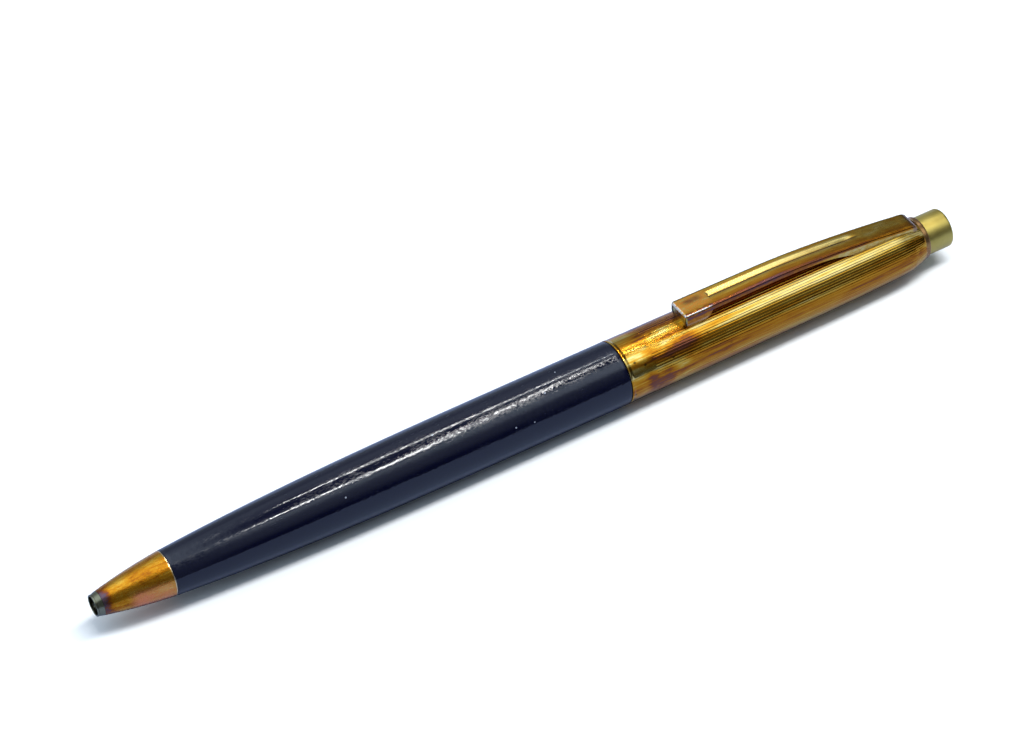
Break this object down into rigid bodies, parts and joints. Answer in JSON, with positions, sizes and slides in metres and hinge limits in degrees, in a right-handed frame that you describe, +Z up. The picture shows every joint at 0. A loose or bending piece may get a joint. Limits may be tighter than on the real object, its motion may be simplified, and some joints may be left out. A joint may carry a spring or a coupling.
{
  "type": "retractable ballpoint pen",
  "caption": "Slim push-button ballpoint pen with a lacquered barrel, gilt fluted cap, spring clip and a refill that advances and retracts.",
  "frame": {"origin": "bottom centre of the bounding box, directly under the pen's axis", "axes": "+X along the pen's axis from the tip to the button, +Z up through the middle of the clip"},
  "size_m": [0.136, 0.0094, 0.0113],
  "materials": {
    "navy_lacquer": "polished lacquer with fine scratches",
    "gold_plate": "gold plate, fluted, tarnished in patches",
    "clip_gold": "gold plate, worn to nickel at the tail's edges",
    "button_brass": "satin pale brass",
    "collar_plate": "thin plated ring, pinkish tarnish",
    "nose_steel": "turned steel",
    "spring_steel": "drawn wire",
    "turned_brass": "turned brass",
    "white_plastic": "moulded acetal",
    "grey_plastic": "moulded nylon",
    "refill_metal": "drawn tube",
    "ink": "ink paste",
    "ball_steel": "polished ball"
  },
  "bodies": {
    "cap": {"cap_shell": "gold_plate", "cap_liner": "grey_plastic", "cap_thread_bush": "turned_brass", "cam_sleeve": "white_plastic", "top_bush": "turned_brass", "clip_collar": "collar_plate"},
    "barrel": {"barrel": "navy_lacquer", "nose_cone": "gold_plate", "nose_ring": "nose_steel", "barrel_thread": "turned_brass", "return_spring": "spring_steel"},
    "clip": {"clip": "clip_gold"},
    "button": {"push_button": "button_brass", "plunger": "white_plastic"},
    "refill": {"refill_tube": "refill_metal", "refill_neck": "refill_metal", "refill_point": "turned_brass", "refill_end_plug": "grey_plastic", "ink_column": "ink"},
    "rotor": {"rotor": "grey_plastic"},
    "ball": {"writing_ball": "ball_steel"}
  },
  "joints": [
    {"name": "button_press", "type": "slide", "parent": "cap", "child": "button", "axis": [-1, 0, 0], "range_m": [0, 0.0036], "stiffness_N_per_m": 150, "springref_m": -0.008},
    {"name": "refill_advance", "type": "slide", "parent": "cap", "child": "refill", "axis": [-1, 0, 0], "range_m": [0, 0.0036], "stiffness_N_per_m": 150, "springref_m": -0.008, "deforming": ["return_spring"]},
    {"name": "rotor_turn", "type": "hinge", "parent": "refill", "child": "rotor", "pos_m": [0.037, 0, 0.00472], "axis": [1, 0, 0], "continuous": true},
    {"name": "ball_roll", "type": "hinge", "parent": "refill", "child": "ball", "pos_m": [-0.0668, 0, 0.00472], "axis": [0, 1, 0], "continuous": true},
    {"name": "clip_flex", "type": "hinge", "parent": "cap", "child": "clip", "pos_m": [0.0616, 0, 0.00862], "axis": [0, 1, 0], "range_deg": [0, 4], "stiffness_Nm_per_rad": 2, "springref_deg": -1.15},
    {"name": "barrel_unscrew", "type": "slide", "parent": "cap", "child": "barrel", "axis": [-1, 0, 0], "range_m": [0, 0.09]}
  ],
  "couplings": [
    {"joint": "refill_advance", "follows": "button_press", "ratio": 1}
  ]
}
